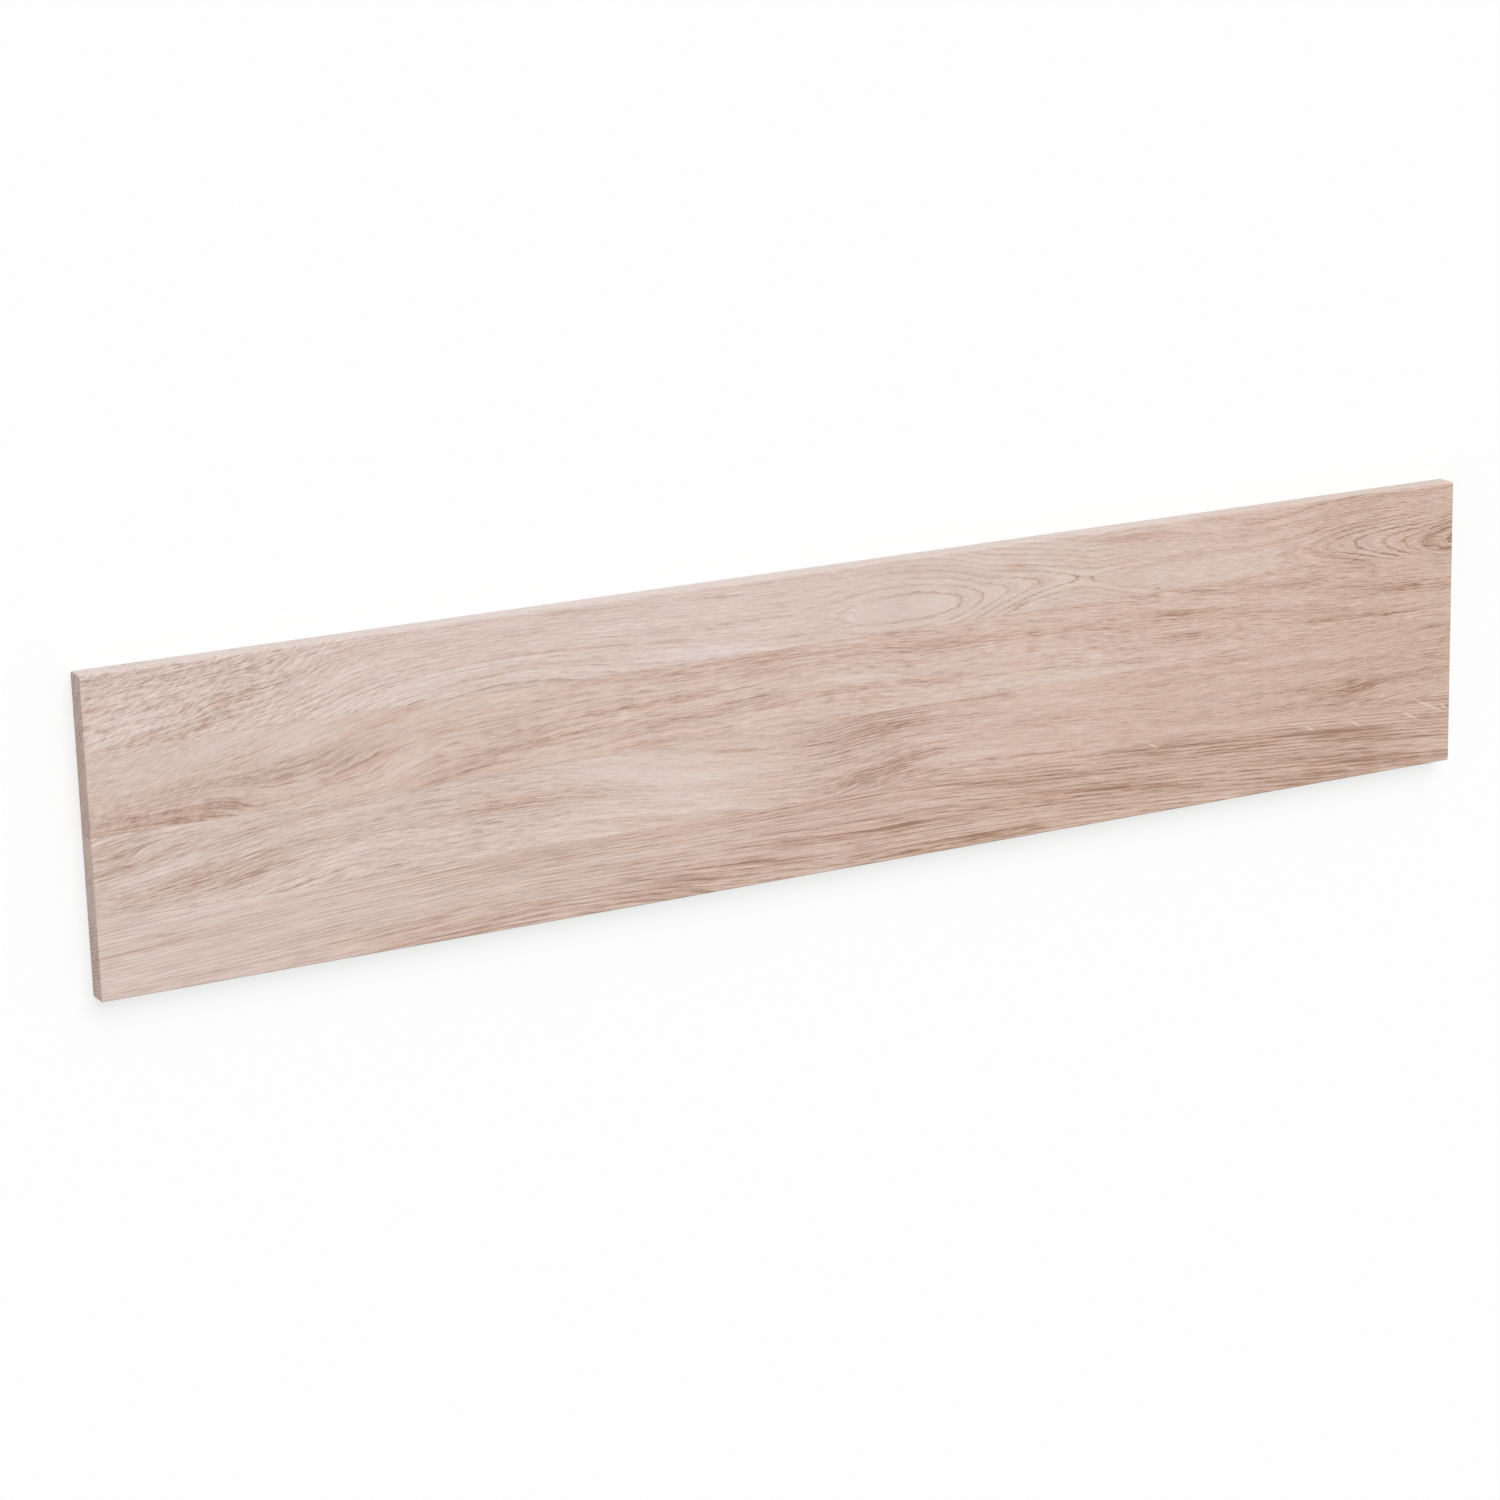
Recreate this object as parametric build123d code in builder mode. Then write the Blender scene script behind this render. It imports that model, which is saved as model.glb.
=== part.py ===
from build123d import *
import os

os.makedirs("parts", exist_ok=True)

# A solid oak riser board for a stair, glued up edge to edge from four full-length staves.
# It lies flat on its back: X runs along the grain, Y from the lower long edge to the upper
# one as the riser is fitted, and the show face looks up along Z.

# Driving sizes in millimetres
board_length = 1000.0
board_thickness = 15.0
bottom_stave_width = 49.4
middle_stave_width = 51.8
top_stave_width = 47.0
arris_radius = 1.2

# The staves in their order across the board. The two middle ones keep the full sawn width, and
# the outer two are what is left of it after the glued board was ripped to its final width.
stave_widths = {
    "stave_bottom": bottom_stave_width,
    "stave_lower_middle": middle_stave_width,
    "stave_upper_middle": middle_stave_width,
    "stave_top": top_stave_width,
}
board_width = sum(stave_widths.values())

# The board as it leaves the planer, with every arris rounded over in one pass
with BuildPart() as planed_board:
    with BuildSketch(Plane.XY):
        Rectangle(board_length, board_width)
    extrude(amount=board_thickness)
    fillet(planed_board.edges(), radius=arris_radius)

# Each stave is the slice of that board between its own two glue lines, so that neighbours
# meet face to face and the rounding runs on across the ends without a step.
lower_line = -board_width / 2
for stave_name, stave_width in stave_widths.items():
    upper_line = lower_line + stave_width
    with BuildPart() as stave:
        add(planed_board.part)
        split(bisect_by=Plane.XZ.offset(-lower_line), keep=Keep.BOTTOM)
        split(bisect_by=Plane.XZ.offset(-upper_line), keep=Keep.TOP)
    stave.part.label = stave_name
    export_step(stave.part, f"parts/{stave_name}.step")
    lower_line = upper_line
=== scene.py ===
import bpy
import math
from mathutils import Matrix, Vector
from types import SimpleNamespace


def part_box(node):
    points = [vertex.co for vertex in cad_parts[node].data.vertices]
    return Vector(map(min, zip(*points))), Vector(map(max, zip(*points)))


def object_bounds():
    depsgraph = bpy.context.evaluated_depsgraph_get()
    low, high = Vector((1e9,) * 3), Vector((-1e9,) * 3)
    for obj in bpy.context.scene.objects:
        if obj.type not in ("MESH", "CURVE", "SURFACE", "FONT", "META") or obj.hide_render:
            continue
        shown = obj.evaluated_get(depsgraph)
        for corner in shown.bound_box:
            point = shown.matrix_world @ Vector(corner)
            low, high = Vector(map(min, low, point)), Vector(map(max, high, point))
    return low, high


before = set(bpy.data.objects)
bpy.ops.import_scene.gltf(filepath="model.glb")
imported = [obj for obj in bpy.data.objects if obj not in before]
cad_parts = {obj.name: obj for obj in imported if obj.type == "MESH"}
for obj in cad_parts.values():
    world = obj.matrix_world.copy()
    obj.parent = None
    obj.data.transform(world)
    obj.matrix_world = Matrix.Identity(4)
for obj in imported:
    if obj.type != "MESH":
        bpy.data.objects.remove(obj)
cad_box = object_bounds()

# An edge-glued oak riser board lying on its back. Four staves run its whole length. The grain is
# drawn in millimetres from the lower left corner of the show face: x runs along the board and
# y from the lower long edge to the upper one. Inside a stave, across is counted from its own lower
# side, and depth is counted down from the show face.

MM = 0.001
LEFT_END = cad_box[0][0]
LOWER_EDGE = cad_box[0][1]
SHOW_FACE = cad_box[1][2]
LENGTH = (cad_box[1][0] - LEFT_END) / MM
WIDTH = (cad_box[1][1] - LOWER_EDGE) / MM


# Values and finishes

class Value:
    """A number or colour that changes over a surface. Operators on numbers add Math nodes."""

    def __init__(self, finish, socket):
        self.finish = finish
        self.socket = socket

    def __add__(self, other):
        return self.finish.math("ADD", self, other)

    def __radd__(self, other):
        return self.finish.math("ADD", other, self)

    def __sub__(self, other):
        return self.finish.math("SUBTRACT", self, other)

    def __rsub__(self, other):
        return self.finish.math("SUBTRACT", other, self)

    def __mul__(self, other):
        return self.finish.math("MULTIPLY", self, other)

    def __rmul__(self, other):
        return self.finish.math("MULTIPLY", other, self)

    def __truediv__(self, other):
        return self.finish.math("DIVIDE", self, other)

    def __rtruediv__(self, other):
        return self.finish.math("DIVIDE", other, self)

    def __pow__(self, other):
        return self.finish.math("POWER", self, other)

    def __rpow__(self, other):
        return self.finish.math("POWER", other, self)


class Finish:
    """The nodes of a material or of the world, made from expressions on values."""

    def __init__(self, owner, ending="ShaderNodeOutputMaterial"):
        owner.use_nodes = True
        self.owner = owner
        self.ending = ending
        self.tree = owner.node_tree
        self.tree.nodes.clear()

    def node(self, kind, settings, inputs, output=0):
        """One node: its settings first, then the values or links of its sockets."""
        made = self.tree.nodes.new(kind)
        for name, setting in settings.items():
            if name == "points":
                set_points(made.mapping, setting)
            elif name == "stops":
                set_stops(made.color_ramp, setting)
            else:
                setattr(made, name, setting)
        for key, value in inputs.items():
            if isinstance(value, Value):
                self.tree.links.new(value.socket, made.inputs[key])
            else:
                made.inputs[key].default_value = value
        if made.outputs:
            return Value(self, made.outputs[output])

    def math(self, operation, *numbers):
        """A Math node on one, two or three numbers."""
        return self.node("ShaderNodeMath", {"operation": operation}, dict(enumerate(numbers)))

    def vector(self, x, y, z):
        return self.node("ShaderNodeCombineXYZ", {}, {0: x, 1: y, 2: z})

    def parts(self, vector):
        """The three numbers of a vector."""
        return [self.node("ShaderNodeSeparateXYZ", {}, {0: vector}, output) for output in range(3)]

    def noise(self, place, size, detail=2.0, roughness=0.5):
        """Noise from 0 to 1 at a place of three numbers, with the size of its features in each."""
        scaled = [number / step for number, step in zip(place, size)]
        inputs = {"Vector": self.vector(*scaled), "Scale": 1.0, "Detail": detail, "Roughness": roughness}
        return self.node("ShaderNodeTexNoise", {"noise_dimensions": "3D"}, inputs)

    def between(self, value, low, high, out_low=0.0, out_high=1.0):
        """The value eased from low..high to out_low..out_high and held there."""
        settings = {"interpolation_type": "SMOOTHSTEP", "clamp": True}
        inputs = {0: value, 1: low, 2: high, 3: out_low, 4: out_high}
        return self.node("ShaderNodeMapRange", settings, inputs)

    def mix(self, first, second, share, blend="MIX"):
        """Colour first with a share of colour second."""
        settings = {"data_type": "RGBA", "blend_type": blend, "clamp_factor": True}
        return self.node("ShaderNodeMix", settings, {0: share, 6: first, 7: second}, output=2)

    def tint(self, colour, glaze, share):
        """The colour with a share of a glaze multiplied over it."""
        return self.mix(colour, glaze, share, "MULTIPLY")

    def show(self, shader):
        """Ends the nodes in a shader."""
        self.node(self.ending, {}, {"Surface": shader})


def set_points(mapping, points):
    """Lays a curve that has only its two end points through the given points."""
    curve = mapping.curves[0]
    curve.points[0].location = points[0]
    curve.points[1].location = points[-1]
    for place in points[1:-1]:
        curve.points.new(*place)
    mapping.update()


def set_stops(ramp, stops):
    """Gives a new ramp its positions and colours."""
    ramp.elements[0].position, ramp.elements[0].color = stops[0]
    ramp.elements[1].position, ramp.elements[1].color = stops[-1]
    for position, colour in stops[1:-1]:
        ramp.elements.new(position).color = colour


# Grain lines. The functions below take numbers or values, so that a streak can be placed by the
# point of the face where it shows. A curve's span is the height of its node's whole scale.

GRAIN_SPAN = 200.0
STRENGTH_SPAN = 4.0
TONE_SPAN = 2.0
WOBBLE_SPAN = 8.0

# The growth line number on the axis of the arcs where their crest is 0.

AXIS_LINE = 5.0


def along(x, points, span):
    """A smooth line through given points of x and height."""
    placed = [(px / LENGTH, height / span + 0.5) for px, height in points]
    if isinstance(x, Value):
        found = x.finish.node("ShaderNodeFloatCurve", {"points": placed}, {1: x * (1 / LENGTH)})
        return (found - 0.5) * span
    mapping = ruler_node().mapping
    while len(mapping.curves[0].points) > 2:
        mapping.curves[0].points.remove(mapping.curves[0].points[1])
    set_points(mapping, placed)
    return (mapping.evaluate(mapping.curves[0], x / LENGTH) - 0.5) * span


def ruler_node():
    """The one curve that is read as numbers."""
    if "ruler" not in bpy.data.node_groups:
        group = bpy.data.node_groups.new("ruler", "ShaderNodeTree")
        group.nodes.new("ShaderNodeFloatCurve")
    return bpy.data.node_groups["ruler"].nodes[0]


def root(number):
    """The square root of a number or value."""
    if isinstance(number, Value):
        return number ** 0.5
    return math.sqrt(number)


def eased(number, low, high):
    """0 below low, 1 above high and a smooth step between, for a number or value."""
    if isinstance(number, Value):
        return number.finish.between(number, low, high)
    share = min(max((number - low) / (high - low), 0.0), 1.0)
    return share * share * (3 - 2 * share)


def bell(squared):
    """1 in the middle of a mark, falling off with the square of the distance from it."""
    return math.exp(-1) ** squared


def fibre_line(x, across, depth, stave):
    """How many millimetres across the fibres a point of a stave lies."""
    share = across / stave["width"]
    lower = along(x, stave["lower"], GRAIN_SPAN)
    middle = along(x, stave["middle"], GRAIN_SPAN)
    upper = along(x, stave["upper"], GRAIN_SPAN)
    height = (lower * ((1 - share) * (1 - 2 * share)) + middle * (4 * share * (1 - share))
              + upper * (share * (2 * share - 1)))
    line = across - height + depth * stave["tilt"]
    for at_x, at_y, half_x, half_y, lift in stave["eddies"]:
        off_x = (x - at_x) / half_x
        off_y = (across - (at_y - stave["foot"])) / half_y
        line = line + bell(off_x * off_x + off_y * off_y) * lift
    return line


def cathedral_line(x, across, depth, stave, fibres, stagger=0.0):
    """Growth line number where the rings close in arcs about an axis. Near its start the axis is
    mixed with the plain fibres, and a stagger frays that change."""
    off_axis = across - along(x, stave["axis"], GRAIN_SPAN)
    nose = along(x, stave["nose"], GRAIN_SPAN)
    to_heart = depth + nose
    bow = root(off_axis * off_axis + to_heart * to_heart) - nose
    crest = along(x, stave["crest"], GRAIN_SPAN)
    arcs = bow * (eased(x, *stave["steeper"]) + 1) + AXIS_LINE - crest
    return fibres + (arcs - fibres) * eased(x + stagger, *stave["cathedral"])


def grain_line(x, across, depth, stave):
    """Growth line number, in millimetres, of a point of a stave."""
    fibres = fibre_line(x, across, depth, stave)
    if "axis" in stave:
        return cathedral_line(x, across, depth, stave, fibres)
    return fibres


# The staves, from the lower edge up. Each has these values, and their places are x and y of the face.
# lower, middle and upper: how the grain climbs along the lower joint, the middle and the upper joint
# tilt and period: how fast the lines change with depth, and how many of them make one growth ring
# streak_length and streak_width: the size of the fine streaks
# eddies: x, y, half length, half height and lift of each small swirl
# curl, rings, figure, wobble, warmth and tone: along x, the strength of the cross ripple, of the dark
# ring lines and of all fine contrast, how far the lines waver, the share of tan, and the paleness
# end_tone: how much paler the end grain is
# streaks: kind, x, y, half length, half width and strength
# rays: the first x and y and the last x and y of each pale fleck
# axis, crest, nose, cathedral and steeper, in the top stave alone: how high the axis of its arcs runs,
# how many lines lie inside the arc there, how blunt the arcs are, and the x from and to which the
# fibres turn into arcs and the arcs crowd together

STAVES = {
    "stave_bottom": {
        "lower": [(0, 1), (75, 5), (175, 9), (275, 12.5), (330, 11.5), (375, 9), (425, 4.5), (475, 3),
                  (525, 2), (600, 2.5), (675, 3), (725, 1), (800, -4), (900, -10.5), (1000, -16)],
        "middle": [(0, -1), (75, 4), (175, 10.5), (275, 15.5), (325, 15.5), (425, 13.5), (525, 11),
                   (575, 11), (625, 9), (725, 4), (825, -1.5), (925, -8.5), (1000, -14.5)],
        "upper": [(0, -2), (75, 3), (175, 8), (275, 12.5), (350, 14), (425, 13), (525, 15), (575, 14.5),
                  (625, 11), (675, 8), (775, 1), (875, -6), (1000, -15)],
        "tilt": 0.35,
        "period": 2.6,
        "streak_length": 85.0,
        "streak_width": 1.1,
        "eddies": [],
        "curl": [(0, 0.0), (1000, 0.0)],
        "rings": [(0, 0.24), (300, 0.26), (1000, 0.3)],
        "figure": [(0, 0.9), (250, 1.0), (1000, 1.05)],
        "wobble": [(0, 0.0), (1000, 0.0)],
        "warmth": [(0, 0.0), (250, 0.35), (500, 0.8), (1000, 1.3)],
        "tone": [(0, 0.58), (250, 0.53), (500, 0.50), (1000, 0.48)],
        "end_tone": -0.12,
        "streaks": [
            ("brown", 30, 28.5, 38, 1.2, 0.9), ("pale", 130, 42.5, 70, 2.5, 0.4),
            ("pale", 90, 46.8, 90, 1.8, 0.8), ("pale", 115, 24, 50, 6, 0.4),
            ("brown", 150, 30, 60, 0.7, 0.5), ("brown", 200, 43.3, 60, 0.7, 0.9),
            ("brown", 300, 48.3, 50, 0.8, 0.4), ("brown", 240, 3, 80, 3.5, 0.6),
            ("red", 250, 9, 90, 5, 0.35), ("dark", 350, 7, 34, 5, 0.45),
            ("dark", 430, 11, 60, 7, 0.3), ("brown", 430, 17, 50, 2, 0.8),
            ("pale", 335, 34, 60, 1.5, 0.8), ("brown", 480, 25, 45, 2, 0.7),
            ("brown", 430, 46, 65, 2.5, 0.5), ("pale", 480, 34.5, 90, 1.2, 0.6),
            ("brown", 530, 22.3, 55, 2.2, 0.8), ("brown", 630, 41, 70, 2, 0.6),
            ("brown", 600, 5, 70, 3.5, 0.7), ("brown", 670, 26, 50, 1.4, 0.8),
            ("dark", 705, 23.5, 22, 1.3, 1.0), ("dark", 615, 7, 26, 1.2, 0.7),
            ("dark", 735, 46.4, 55, 0.8, 1.0), ("dark", 860, 38.4, 85, 0.8, 0.9),
            ("brown", 790, 38, 100, 4, 0.4), ("dark", 935, 32.5, 30, 1.8, 0.7),
            ("brown", 730, 25, 50, 6, 0.35), ("brown", 930, 26, 80, 7, 0.4),
            ("brown", 390, 9, 40, 6, 0.5), ("brown", 185, 11, 40, 4, 0.6),
            ("brown", 650, 22, 70, 3, 0.6), ("pale", 680, 32, 40, 1.4, 0.7),
            ("pale", 790, 28.3, 75, 1.2, 0.9), ("pale", 930, 21.8, 80, 1.2, 0.8),
            ("dark", 770, 17.5, 30, 2.0, 0.4), ("dark", 900, 14, 60, 3, 0.25),
            ("brown", 880, 12, 120, 11, 0.3), ("dark", 965, 6, 45, 5, 0.25),
        ],
        "rays": [(970, 48, 995, 36), (960, 40, 970, 35), (992, 42, 997, 38), (915, 40, 921, 37),
                 (876, 42, 882, 39), (746, 49, 752, 46)],
    },
    "stave_lower_middle": {
        "lower": [(0, 3), (75, 5.5), (125, 10), (175, 14.5), (225, 15.5), (275, 16), (325, 15.5),
                  (375, 13.5), (425, 7), (475, 0.5), (500, 0.5), (525, 5), (575, 8.5), (625, 7.5),
                  (675, 5.5), (725, 4), (775, 0.5), (825, -4), (875, -6), (925, -6.5), (1000, 0)],
        "middle": [(0, -5), (75, 7), (125, 16), (175, 21), (225, 21.5), (275, 21), (325, 19.5),
                   (375, 12.5), (425, 5), (475, 1.5), (495, 1.5), (525, 4.5), (575, 8), (625, 5.5),
                   (675, 2), (725, -2), (775, -5.5), (825, -6), (875, -5.5), (925, -4), (1000, -5.5)],
        "upper": [(0, 0), (25, 3), (75, 5), (125, 9), (175, 14), (225, 21), (275, 21.5), (325, 14.5),
                  (375, 6.5), (425, -2), (475, -8), (495, -8), (525, -3), (575, -2.5), (625, -4.5),
                  (675, -4), (775, -5), (825, -9.5), (875, -12.5), (925, -14), (1000, -10)],
        "tilt": 0.7,
        "period": 3.0,
        "streak_length": 40.0,
        "streak_width": 1.15,
        "eddies": [(912, 62, 20, 6, 3.0), (22, 85, 14, 5, 3.0)],
        "curl": [(0, 0.3), (1000, 0.2)],
        "rings": [(0, 0.22), (250, 0.12), (450, 0.1), (500, 0.2), (580, 0.2), (640, 0.1), (1000, 0.12)],
        "figure": [(0, 1.2), (250, 1.1), (430, 0.9), (530, 1.15), (700, 0.9), (1000, 1.1)],
        "wobble": [(0, 0.5), (1000, 0.3)],
        "warmth": [(0, 0.1), (300, 0.2), (550, 0.8), (1000, 1.3)],
        "tone": [(0, 0.54), (250, 0.57), (350, 0.62), (530, 0.54), (620, 0.57), (850, 0.51),
                 (1000, 0.48)],
        "end_tone": 0.12,
        "streaks": [
            ("brown", 62, 64.5, 55, 5.5, 0.7), ("dark", 108, 66.5, 26, 4, 0.6),
            ("brown", 15, 81, 20, 6, 0.4), ("brown", 19, 86, 9, 2.6, 0.4),
            ("brown", 25, 80.5, 30, 0.9, 0.6), ("pale", 57, 79, 20, 1.6, 0.8),
            ("pale", 38, 73, 26, 1.8, 0.6), ("brown", 170, 97, 80, 2.8, 0.55),
            ("grey", 205, 89, 30, 4, 0.4), ("brown", 275, 82, 50, 5, 0.8),
            ("brown", 275, 78, 62, 1.4, 0.6), ("dark", 272, 81, 22, 2.2, 0.5),
            ("dark", 253, 71.5, 8, 1.1, 0.8), ("pale", 325, 94, 50, 4.5, 0.8),
            ("pale", 385, 81, 45, 4.5, 0.7), ("pale", 430, 76, 40, 2.5, 0.7),
            ("brown", 150, 56, 45, 0.8, 0.6), ("dark", 194, 54, 5, 0.9, 0.8),
            ("red", 345, 58.8, 24, 1.2, 1.0), ("pale", 400, 63, 32, 6, 0.5),
            ("grey", 423, 52, 10, 0.8, 0.9), ("olive", 440, 90.5, 24, 1.4, 1.0),
            ("olive", 487, 89, 16, 4, 0.6), ("olive", 535, 91.5, 36, 8, 0.9),
            ("olive", 528, 59.5, 38, 5.5, 0.8), ("olive", 560, 68, 24, 3, 0.5),
            ("dark", 530, 62, 16, 2, 0.5), ("pale", 600, 63, 26, 5, 0.6),
            ("pale", 630, 83, 32, 2.5, 0.6), ("dark", 610, 100, 32, 0.8, 0.6),
            ("dark", 655, 55.4, 38, 1.0, 0.8), ("pale", 810, 71.5, 24, 3, 0.6),
            ("olive", 850, 64, 110, 6, 0.35), ("dark", 912, 62.5, 13, 2.0, 0.5),
            ("brown", 915, 59.5, 28, 4, 0.4), ("brown", 915, 69, 10, 1.2, 0.7),
            ("brown", 850, 77, 11, 1.2, 0.7), ("brown", 885, 67.5, 14, 1.8, 0.6),
            ("brown", 932, 83, 9, 1, 0.7), ("brown", 954, 84, 7, 1, 0.7),
            ("brown", 982, 72.5, 22, 7, 0.5), ("brown", 980, 99, 7, 1, 0.6),
        ],
        "rays": [],
    },
    "stave_upper_middle": {
        "lower": [(0, 6), (75, 5.5), (125, 1), (150, 4), (175, 8), (225, 12), (275, 15.5), (325, 17.5),
                  (375, 20.5), (425, 19.5), (475, 20.5), (525, 20), (575, 18.5), (625, 17.5), (675, 17.5),
                  (725, 16), (775, 12.5), (825, 10), (875, 8.5), (925, 7.8), (1000, 6)],
        "middle": [(0, 0), (25, 2.5), (75, 9), (125, 12), (150, 15), (175, 20), (225, 24), (275, 25.5),
                   (325, 27.5), (375, 28.5), (425, 29), (475, 30.5), (525, 30), (575, 26), (625, 26),
                   (675, 23.5), (725, 20), (775, 17.5), (825, 15.5), (875, 11.5), (925, 8), (1000, 5.5)],
        "upper": [(0, -14), (25, -9.5), (75, 6), (125, 22), (175, 28), (225, 36), (275, 39), (325, 39.5),
                  (375, 38), (425, 36), (475, 37), (525, 35), (575, 32), (625, 30.5), (675, 28), (725, 26),
                  (775, 21.5), (825, 16.5), (875, 15.5), (925, 12), (1000, 4)],
        "tilt": 1.6,
        "period": 2.6,
        "streak_length": 36.0,
        "streak_width": 1.1,
        "eddies": [(180, 112, 24, 12, 4.5), (103, 104.5, 12, 6, 1.6), (30, 145, 14, 6, 3.0)],
        "curl": [(0, 0.7), (120, 0.4), (250, 0.1), (1000, 0.1)],
        "rings": [(0, 0.2), (130, 0.22), (280, 0.22), (350, 0.15), (1000, 0.15)],
        "figure": [(0, 0.85), (110, 0.65), (230, 0.65), (320, 0.85), (500, 1.0), (1000, 1.0)],
        "wobble": [(0, 0.8), (200, 0.4), (1000, 0.2)],
        "warmth": [(0, 0.35), (300, 0.5), (600, 0.7), (1000, 1.3)],
        "tone": [(0, 0.53), (120, 0.54), (300, 0.55), (600, 0.57), (1000, 0.50)],
        "end_tone": -0.02,
        "streaks": [
            ("grey", 95, 122, 55, 7, 0.5), ("brown", 20, 112, 35, 7, 0.4),
            ("dark", 30, 104, 45, 2.2, 0.9), ("dark", 72, 104.2, 24, 2.2, 1.1),
            ("dark", 84, 109, 24, 2.4, 0.6), ("brown", 50, 109, 45, 4, 0.4),
            ("brown", 122, 117, 8, 3, 0.35), ("brown", 170, 116, 26, 8, 0.4),
            ("pale", 132, 142, 16, 7, 0.7), ("pale", 85, 145, 60, 7, 0.9),
            ("pale", 20, 142, 30, 9, 0.4), ("grey", 160, 124, 26, 6, 0.3),
            ("brown", 170, 106, 8, 2.5, 0.5), ("red", 196, 147, 18, 2.2, 0.6),
            ("brown", 228, 103.5, 34, 3, 0.7), ("brown", 255, 112, 45, 3.0, 0.5),
            ("brown", 310, 119, 50, 3.0, 0.8), ("brown", 380, 130, 60, 2.5, 0.8),
            ("brown", 470, 140.5, 50, 2.2, 0.25), ("brown", 350, 111, 25, 1.2, 0.7),
            ("brown", 395, 118, 40, 1.4, 0.7), ("brown", 440, 123.5, 25, 1.2, 0.6),
            ("brown", 365, 105.5, 32, 1.5, 0.7), ("brown", 470, 117, 28, 1.5, 0.9),
            ("brown", 515, 120, 50, 1.1, 0.9), ("pale", 530, 126.5, 40, 2.4, 0.9),
            ("pale", 520, 104.5, 45, 2.2, 0.6), ("red", 575, 117, 28, 1.3, 0.7),
            ("brown", 430, 147, 60, 6, 0.45), ("olive", 390, 145, 11, 3, 0.6),
            ("brown", 460, 151.5, 22, 1, 0.7), ("brown", 520, 141, 16, 1.2, 0.8),
            ("brown", 557, 151, 18, 1.2, 0.8), ("olive", 600, 136.5, 42, 3.0, 0.6),
            ("red", 650, 139.5, 130, 3.5, 0.5), ("brown", 662, 145.5, 14, 0.9, 0.8),
            ("pale", 590, 124, 50, 3, 0.6), ("red", 530, 112, 35, 3, 0.35),
            ("pale", 670, 106.5, 120, 4, 0.8), ("grey", 650, 113.5, 90, 0.7, 0.6),
            ("brown", 772, 136.8, 38, 2.4, 1.0), ("grey", 792, 148.5, 18, 0.8, 0.9),
            ("brown", 778, 121, 24, 1.1, 0.8), ("grey", 868, 145.5, 18, 2.5, 0.5),
            ("dark", 880, 144, 10, 1.2, 0.5), ("brown", 972, 131.8, 36, 3.2, 0.9),
            ("brown", 920, 114.2, 80, 1.3, 0.8),
        ],
        "rays": [],
    },
    "stave_top": {
        "lower": [(0, -8), (25, -3.5), (75, 5), (125, 14.5), (175, 26), (225, 34), (275, 39), (325, 35),
                  (375, 30.5), (425, 30), (475, 28), (540, 28), (1000, 0)],
        "middle": [(0, 1), (25, 3), (75, 9), (125, 16), (150, 22), (175, 29), (225, 35), (275, 37.5),
                   (325, 36.5), (375, 33), (425, 29.5), (475, 28), (540, 28), (1000, 0)],
        "upper": [(0, 10), (25, 10), (75, 11.5), (125, 18), (175, 21), (225, 25), (275, 27), (325, 26),
                  (375, 24.5), (425, 23), (475, 22.5), (540, 22.5), (1000, 0)],
        "axis": [(0, 0), (440, 14), (500, 15), (560, 15), (600, 14.5), (617, 15.5), (637, 17.5),
                 (655, 19), (672, 19), (690, 18), (705, 16), (740, 12.5), (780, 10), (830, 11),
                 (872, 13.5), (892, 14), (917, 13.5), (937, 12), (957, 10), (975, 8), (1000, 8)],
        "crest": [(0, 0), (485, 18), (508, 19.2), (530, 21.2), (560, 21.9), (580, 21.3), (600, 19.2),
                  (617, 15.7), (637, 12.2), (660, 8.7), (690, 5.2), (695, 4.9), (702, 5.2), (720, 7.3),
                  (740, 9.2), (780, 10.5), (850, 10.6), (873, 12.2), (892, 15.7), (915, 19.2),
                  (937, 22.7), (957, 26.2), (975, 29.7), (1000, 34)],
        "cathedral": (490.0, 500.0),
        "nose": [(0, 13), (580, 13), (630, 7), (700, 5), (760, 6), (880, 15), (1000, 15)],
        "steeper": (760.0, 880.0),
        "tilt": 1.0,
        "period": 3.5,
        "streak_length": 30.0,
        "streak_width": 1.2,
        "eddies": [(60, 168, 16, 5, 3.5), (120, 186, 18, 6, 4.0)],
        "curl": [(0, 1.1), (150, 0.9), (230, 0.2), (500, 0.0), (1000, 0.2)],
        "rings": [(0, 0.25), (120, 0.32), (280, 0.28), (340, 0.2), (400, 0.15), (500, 0.3),
                  (595, 0.7), (660, 0.6), (695, 0.35), (730, 0.15), (760, 0.0), (870, 0.0), (895, 0.3),
                  (940, 0.45), (1000, 0.45)],
        "figure": [(0, 1.2), (200, 1.0), (480, 0.9), (560, 0.6), (700, 0.9), (1000, 1.1)],
        "wobble": [(0, 0.8), (250, 0.2), (540, 0.3), (620, 1.4), (800, 1.2), (900, 2.2), (1000, 2.2)],
        "warmth": [(0, 0.1), (600, 0.25), (800, 0.8), (1000, 1.3)],
        "tone": [(0, 0.58), (300, 0.62), (600, 0.63), (850, 0.575), (1000, 0.55)],
        "end_tone": -0.06,
        "streaks": [
            ("red", 8, 178, 14, 1.2, 0.7), ("brown", 32, 155.5, 24, 2.6, 0.9),
            ("brown", 72, 157.5, 26, 2.4, 0.9), ("brown", 94, 172.5, 20, 5, 0.9),
            ("pale", 32, 162.5, 14, 2.6, 0.9), ("pale", 32, 169.7, 20, 1.6, 0.9),
            ("grey", 30, 192, 35, 6, 0.35), ("grey", 110, 190, 50, 8, 0.35),
            ("red", 176, 194, 14, 1.0, 0.7), ("brown", 176, 178, 4, 0.9, 0.8),
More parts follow.
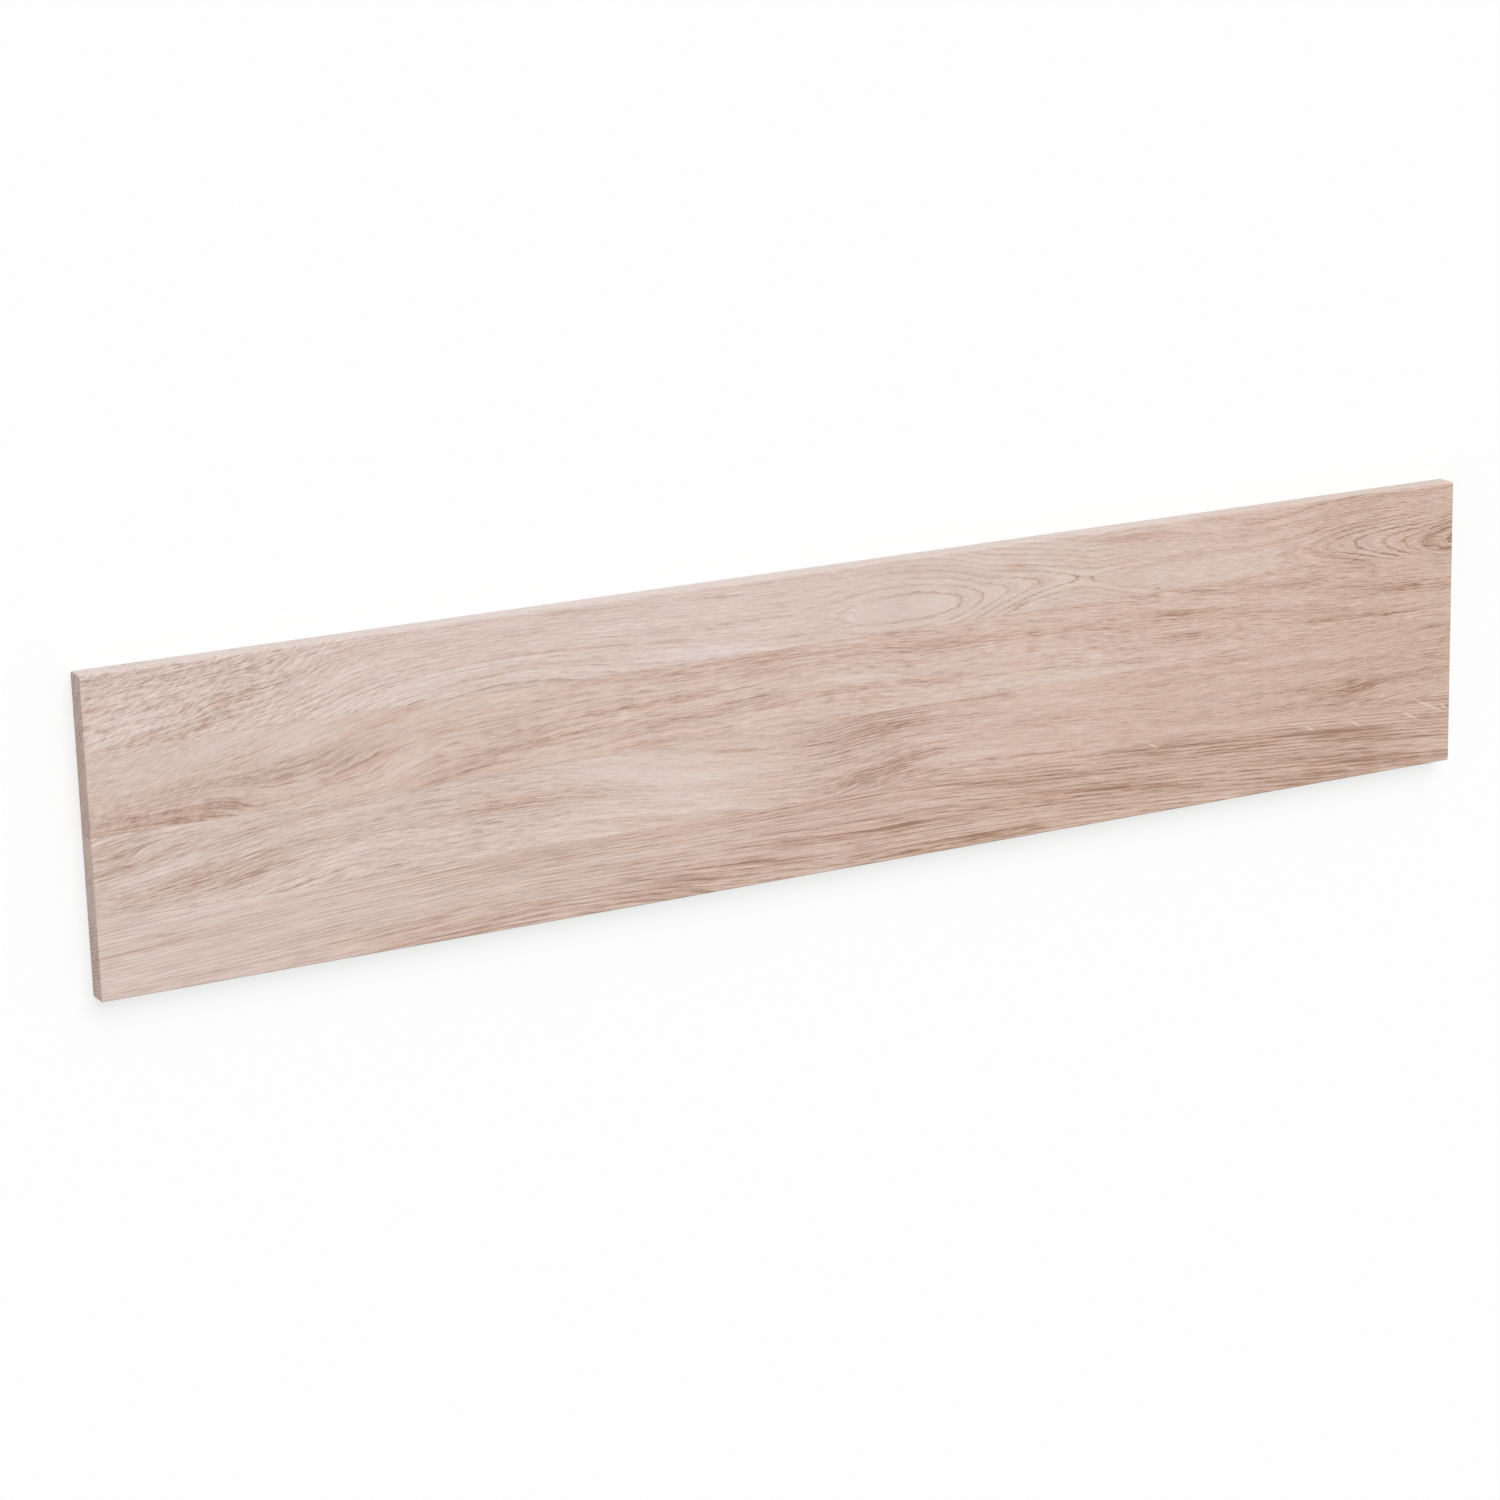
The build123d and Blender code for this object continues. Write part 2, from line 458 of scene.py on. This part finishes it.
            ("brown", 190, 165, 8, 0.9, 0.8), ("pale", 205, 163, 50, 7, 0.5),
            ("brown", 250, 163, 26, 1.0, 0.9), ("dark", 300, 155.6, 34, 1.1, 0.7),
            ("brown", 300, 166, 60, 0.7, 0.4), ("red", 305, 173.8, 55, 1.0, 1.0),
            ("red", 388, 168.5, 12, 1.1, 1.0), ("red", 320, 196.5, 35, 0.7, 0.7),
            ("brown", 418, 193, 13, 1.4, 1.0), ("pale", 415, 159, 45, 3.0, 0.9),
            ("pale", 556, 167, 34, 5, 0.35), ("pale", 940, 155, 50, 3.0, 0.5),
            ("brown", 660, 175, 5, 1.2, 0.9), ("brown", 638, 156.5, 5, 2.5, 0.7),
            ("dark", 688, 173, 7, 0.9, 0.7), ("brown", 700, 169, 8, 0.8, 0.7),
            ("dark", 725, 193.6, 26, 1.2, 1.0), ("brown", 745, 191.5, 40, 1.6, 0.6),
            ("dark", 840, 190.7, 18, 0.9, 0.9), ("dark", 822, 187.3, 10, 0.7, 0.9),
            ("red", 850, 186.8, 14, 0.9, 0.8), ("brown", 905, 199.2, 35, 0.7, 0.8),
            ("pale", 800, 156.5, 60, 2.6, 0.6), ("brown", 868, 177, 30, 2, 0.4),
            ("brown", 995, 177, 8, 1.2, 0.6), ("brown", 980, 166, 24, 10, 0.35),
        ],
        "rays": [],
    },
}

# What each kind of streak adds to the darkness and to the redness of the wood.

STREAK_KINDS = {
    "dark": (0.46, 0.4),
    "brown": (0.34, 0.55),
    "red": (0.28, 0.9),
    "olive": (0.34, 0.1),
    "grey": (0.32, -0.4),
    "pale": (-0.22, -0.5),
}

# The wood from its darkest to its palest tone, silvery towards the left and tan towards the right.

SILVER_OAK = [
    (0.0, (0.36, 0.245, 0.195, 1)), (0.2, (0.50, 0.37, 0.315, 1)), (0.5, (0.645, 0.511, 0.455, 1)),
    (0.8, (0.745, 0.622, 0.57, 1)), (1.0, (0.80, 0.68, 0.63, 1)),
]
TAN_OAK = [
    (0.0, (0.27, 0.155, 0.10, 1)), (0.2, (0.44, 0.285, 0.21, 1)), (0.5, (0.62, 0.447, 0.363, 1)),
    (0.8, (0.72, 0.552, 0.47, 1)), (1.0, (0.77, 0.61, 0.53, 1)),
]
# Pale grey mixed into both long edges: painted sheen, standing in for the light the edges catch, not a
# colour of the wood.
EDGE_SHEEN_GREY = (0.54, 0.505, 0.493, 1)

# Glazes that are multiplied over the wood.

REDDER = (1.02, 0.93, 0.86, 1)
GREYER = (0.95, 0.99, 1.04, 1)
END_GRAIN = (0.83, 0.81, 0.81, 1)
WORN_ARRIS = (0.86, 0.80, 0.74, 1)
GLUE_LINE = (0.80, 0.74, 0.68, 1)

# In millimetres: how far the start of the arcs and the ends of streaks are frayed, half the width of
# a pale fleck, how far from the axis the rings are narrow, and where a glue line fades out.

FRAYED_START = 220.0
FRAYED_STREAK_END = 70.0
RAY_HALF_WIDTH = 0.6
AXIS_REACH = 8.0
GLUE_FADE = (0.05, 0.35)


def faces(finish):
    """How much a point lies on an end, on a long edge or on a rounded arris, each from 0 to 1."""
    facing = finish.node("ShaderNodeTexCoord", {}, {}, output="Normal")
    ends, edges, flats = [finish.math("ABSOLUTE", part) for part in finish.parts(facing)]
    squarest = finish.math("MAXIMUM", finish.math("MAXIMUM", ends, edges), flats)
    return SimpleNamespace(
        end=finish.between(ends, 0.5, 0.9),
        edge=finish.between(edges, 0.5, 0.9),
        arris=finish.between(squarest, 0.75, 0.99, 1.0, 0.0),
    )


def grown_wood(finish, x, across, depth, stave):
    """What grew in the wood: its noises along the grain, its rings, pores and rays."""
    fibres = fibre_line(x, across, depth, stave)
    line = fibres
    if "axis" in stave:
        fray = finish.noise((x, across, depth), (70, 0.9, 1), detail=3.0)
        line = cathedral_line(x, across, depth, stave, fibres, (fray - 0.5) * FRAYED_START)
    sway = finish.noise((x, line, depth), (60, 7, 20))
    waver = finish.noise((x, across, depth), (7, 7, 7))
    shift = (sway - 0.5) * 1.2 + (waver - 0.5) * along(x, stave["wobble"], WOBBLE_SPAN)
    by_line = (x, line + shift, depth)
    by_fibre = (x, fibres + shift, depth)
    askew = (x * 0.85 + across * 0.5, across * 0.85 - x * 0.5, depth)
    length = stave["streak_length"]
    width = stave["streak_width"]

    wood = SimpleNamespace(line=line + shift)
    wood.streak = finish.noise(by_line, (length, width, 3), detail=5.0, roughness=0.68)
    wood.fleck = finish.noise(by_fibre, (length / 3, width * 0.7, 1.1), roughness=0.6)
    wood.fibre = finish.noise(by_fibre, (12, 0.4, 0.4), roughness=0.6)
    wood.broad = finish.noise(by_line, (120, 8, 9))
    wood.blush = finish.noise(by_line, (18, 3, 6), detail=3.0)
    wood.curl = finish.noise(askew, (6, 1.8, 3))

    ragged_line = wood.line + (wood.fleck - 0.5) * 1.4 + (wood.fibre - 0.5) * 0.8
    through_ring = finish.math("FRACT", ragged_line / stave["period"])
    breaks = finish.noise(by_line, (25, 2.5, 4), detail=3.0)
    dark_share = 0.35
    fade = 1.0
    if "axis" in stave:
        off_axis = (across - along(x, stave["axis"], GRAIN_SPAN)) / AXIS_REACH
        squared = off_axis * off_axis
        dark_share = finish.between(squared, 0.0, 1.0, 0.17, 0.42)
        dark_share = dark_share + finish.between(x, *stave["steeper"], 0.0, 0.16)
        fade = finish.between(squared, 1.0, 5.0, 1.0, 0.5)
    wood.ring = (finish.between(through_ring, 1 - dark_share, 0.99) * fade
                 * finish.between(breaks, 0.3, 0.55, 0.3, 1.0))

    pores = finish.noise(by_fibre, (5, 0.3, 0.3), detail=1.0)
    wood.pore = finish.between(pores, 0.56, 0.68) * finish.between(through_ring, 0.3, 0.9, 0.4, 1.0)
    rays = finish.noise((x, line, depth - across * stave["tilt"]), (9, 12, 0.45), detail=1.0)
    wood.ray = finish.between(rays, 0.56, 0.68)
    return wood


def placed_streaks(finish, x, line, stave):
    """The darkness and the redness that the stave's own streaks add."""
    half_step = 0.5
    fewest_lines = 0.2
    here = finish.vector(x, line, 0.0)
    darkness = 0.0
    redness = 0.0
    for kind, at_x, at_y, half_length, half_width, strength in stave["streaks"]:
        at_across = at_y - stave["foot"]
        at_line = grain_line(at_x, at_across, 0.0, stave)
        lines_per_mm = abs(grain_line(at_x, at_across + half_step, 0.0, stave)
                           - grain_line(at_x, at_across - half_step, 0.0, stave))
        half_lines = half_width * max(lines_per_mm, fewest_lines)
        sizes = (1 / half_length, 1 / half_lines, 0.0)
        shift = (-at_x / half_length, -at_line / half_lines, 0.0)
        off = finish.node("ShaderNodeVectorMath", {"operation": "MULTIPLY_ADD"},
                          {0: here, 1: sizes, 2: shift})
        squared = finish.node("ShaderNodeVectorMath", {"operation": "DOT_PRODUCT"}, {0: off, 1: off},
                              output=1)
        adds_dark, adds_red = STREAK_KINDS[kind]
        darkness = darkness + bell(squared) * (adds_dark * strength)
        redness = redness + bell(squared) * (adds_red * strength)
    return darkness, redness


def placed_rays(x, across, stave):
    """The pale flecks where a ray of the wood lies open, each drawn between two points."""
    paleness = 0.0
    for first_x, first_y, last_x, last_y in stave["rays"]:
        half = math.hypot(last_x - first_x, last_y - first_y) / 2
        run = (last_x - first_x) / 2 / half
        rise = (last_y - first_y) / 2 / half
        off_x = x - (first_x + last_x) / 2
        off_y = across - ((first_y + last_y) / 2 - stave["foot"])
        lengthwise = (off_x * run + off_y * rise) / half
        sideways = (off_y * run - off_x * rise) / RAY_HALF_WIDTH
        paleness = paleness + bell(lengthwise * lengthwise + sideways * sideways)
    return paleness


def glue_lines(finish, across, stave):
    """1 at the glue lines of a stave and 0 a little way off."""
    near = 0.0
    for side in (0.0, stave["width"]):
        if 0 < round(stave["foot"] + side) < round(WIDTH):
            off_line = finish.math("ABSOLUTE", across - side)
            near = near + finish.between(off_line, *GLUE_FADE, 1.0, 0.0)
    return near


def tone_and_redness(finish, x, across, stave, wood, on):
    """The tone of the wood, from 0 at its darkest to 1 at its palest, and its redness."""
    frayed_x = x + (wood.streak - 0.5) * FRAYED_STREAK_END
    darkness, redness = placed_streaks(finish, frayed_x, wood.line, stave)
    redness = redness + (wood.blush - 0.5) * 1.8
    striped = finish.between(wood.streak * 0.55 + wood.fleck * 0.45, 0.38, 0.62, 1.8, 0.2)
    darkness = darkness * (striped * 0.45 + 0.55)

    contrast = (wood.streak - 0.5) + (wood.fleck - 0.5) * 0.95 + (wood.fibre - 0.5) * 0.75
    contrast = contrast - wood.ring * along(x, stave["rings"], STRENGTH_SPAN)
    tone = along(x, stave["tone"], TONE_SPAN) + contrast * along(x, stave["figure"], STRENGTH_SPAN)
    tone = tone + (wood.broad - 0.5) * 0.6
    tone = tone + (wood.curl - 0.5) * along(x, stave["curl"], STRENGTH_SPAN)
    tone = tone - darkness / (finish.math("ABSOLUTE", darkness) + 1)
    tone = tone + placed_rays(x, across, stave) * 0.6
    tone = tone + on.end * (wood.ray * 0.2 - wood.ring * 0.25 + stave["end_tone"]) - wood.pore * 0.06
    darkest = 0.03
    softness = 0.12
    return finish.math("SMOOTH_MAX", tone, darkest, softness), redness


def oak_colour(finish, warmth, tone, redness, wood, on, glue):
    """The colour of the wood, with its ends, long edges, arrises and glue lines."""
    silver = finish.node("ShaderNodeValToRGB", {"stops": SILVER_OAK}, {0: tone})
    tan = finish.node("ShaderNodeValToRGB", {"stops": TAN_OAK}, {0: tone})
    colour = finish.mix(silver, tan, warmth)
    colour = finish.tint(colour, REDDER, redness)
    colour = finish.tint(colour, GREYER, 0 - redness)
    colour = finish.tint(colour, END_GRAIN, on.end)
    # Painted sheen: the long edges are mixed towards pale grey as if they caught more light.
    colour = finish.mix(colour, EDGE_SHEEN_GREY, on.edge * 0.46)
    colour = finish.tint(colour, WORN_ARRIS, on.arris * wood.streak)
    return finish.tint(colour, GLUE_LINE, glue * 0.55)


def oak(name, stave_node):
    """Planed oak with this stave's own grain, drawn right through its thickness."""
    finish = Finish(bpy.data.materials.new(name))
    stave = STAVES[stave_node]
    low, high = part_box(stave_node)
    stave["width"] = (high.y - low.y) / MM
    stave["foot"] = (low.y - LOWER_EDGE) / MM

    place_x, place_y, place_z = finish.parts(finish.node("ShaderNodeTexCoord", {}, {}, output="Object"))
    x = (place_x - LEFT_END) / MM
    across = (place_y - low.y) / MM
    depth = (SHOW_FACE - place_z) / MM
    on = faces(finish)
    wood = grown_wood(finish, x, across, depth, stave)
    glue = glue_lines(finish, across, stave)
    tone, redness = tone_and_redness(finish, x, across, stave, wood, on)
    warmth = along(x, stave["warmth"], STRENGTH_SPAN)
    colour = oak_colour(finish, warmth, tone, redness, wood, on, glue)

    relief = wood.fibre * 0.6 + wood.streak * 0.4 - wood.pore * 0.9 - glue * 1.2
    normal = finish.node("ShaderNodeBump", {}, {"Strength": 0.5, "Distance": 0.1 * MM, "Height": relief})
    roughness = finish.between(wood.fibre, 0.3, 0.7, 0.62, 0.48)
    roughness = roughness + on.end * 0.12 + wood.pore * 0.08 - on.arris * 0.08
    finish.show(finish.node("ShaderNodeBsdfPrincipled", {},
                            {"Base Color": colour, "Roughness": roughness, "Normal": normal}))
    return finish.owner


# Studio, with its lengths in metres and the spread of the key light in degrees

WHITE = (1, 1, 1, 1)
FLOOR_WHITE = (0.97, 0.97, 0.97, 1)
SOFT_LIGHT = 0.5
KEY_LIGHT = 2.1
KEY_SPREAD = 50
TOWARDS_KEY = Vector((0.05, 0.67, 0.74))
FLOOR_GLOW = 0.65
FLOOR_HALF = 6.0
FLOOR_LEVEL = -0.0002


def add_object(name, data):
    made = bpy.data.objects.new(name, data)
    bpy.context.scene.collection.objects.link(made)
    return made


def camera_at_photo_angle():
    """The photograph's camera, with the board laid flat under it."""
    right = Vector((0.8791, -0.0258, 0.4760))
    up = Vector((0.1433, 0.9667, -0.2123))
    back = Vector((-0.4547, 0.2548, 0.8534))
    place = Vector((-1.2198, 0.6405, 2.1931))
    data = bpy.data.cameras.new("camera")
    data.lens = 96.0
    data.sensor_width = 36.0
    data.clip_end = 50.0
    camera = add_object("camera", data)
    turned = Matrix((right, up, back)).transposed().to_4x4()
    camera.matrix_world = Matrix.Translation(place) @ turned
    bpy.context.scene.camera = camera


def in_sight(finish):
    """1 for the rays that bring a surface into the picture, straight, mirrored or through glass."""
    seen = 0.0
    for ray in ("Is Camera Ray", "Is Glossy Ray", "Is Transmission Ray"):
        seen = seen + finish.node("ShaderNodeLightPath", {}, {}, output=ray)
    return finish.math("MINIMUM", seen, 1.0)


def soft_light():
    """Even light from all around, which looks white behind the board."""
    world = bpy.data.worlds.new("studio")
    bpy.context.scene.world = world
    sky = Finish(world, "ShaderNodeOutputWorld")
    strength = in_sight(sky) * (1 - SOFT_LIGHT) + SOFT_LIGHT
    sky.show(sky.node("ShaderNodeBackground", {}, {"Color": WHITE, "Strength": strength}))


def key_light():
    """A broad soft light from above and behind the upper edge."""
    data = bpy.data.lights.new("key", "SUN")
    data.energy = KEY_LIGHT
    data.angle = math.radians(KEY_SPREAD)
    key = add_object("key", data)
    key.rotation_euler = TOWARDS_KEY.to_track_quat("Z", "Y").to_euler()


def pale_floor():
    """A matt floor that stays white in the picture and keeps the board's shadow."""
    finish = Finish(bpy.data.materials.new("floor_white"))
    matt = finish.node("ShaderNodeBsdfDiffuse", {}, {"Color": FLOOR_WHITE})
    glow = finish.node("ShaderNodeEmission", {}, {"Color": WHITE, "Strength": 1.0})
    share = in_sight(finish) * FLOOR_GLOW
    finish.show(finish.node("ShaderNodeMixShader", {}, {0: share, 1: matt, 2: glow}))
    mesh = bpy.data.meshes.new("floor")
    corners = [(side_x * FLOOR_HALF, side_y * FLOOR_HALF, FLOOR_LEVEL)
               for side_x, side_y in ((-1, -1), (1, -1), (1, 1), (-1, 1))]
    mesh.from_pydata(corners, [], [(0, 1, 2, 3)])
    mesh.materials.append(finish.owner)
    floor = add_object("floor", mesh)


bpy.context.scene.view_settings.view_transform = "Standard"
camera_at_photo_angle()
soft_light()
key_light()
pale_floor()
for node_name in STAVES:
    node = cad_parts[node_name]
    node.data.materials.clear()
    node.data.materials.append(oak("oak_" + node_name, node_name))
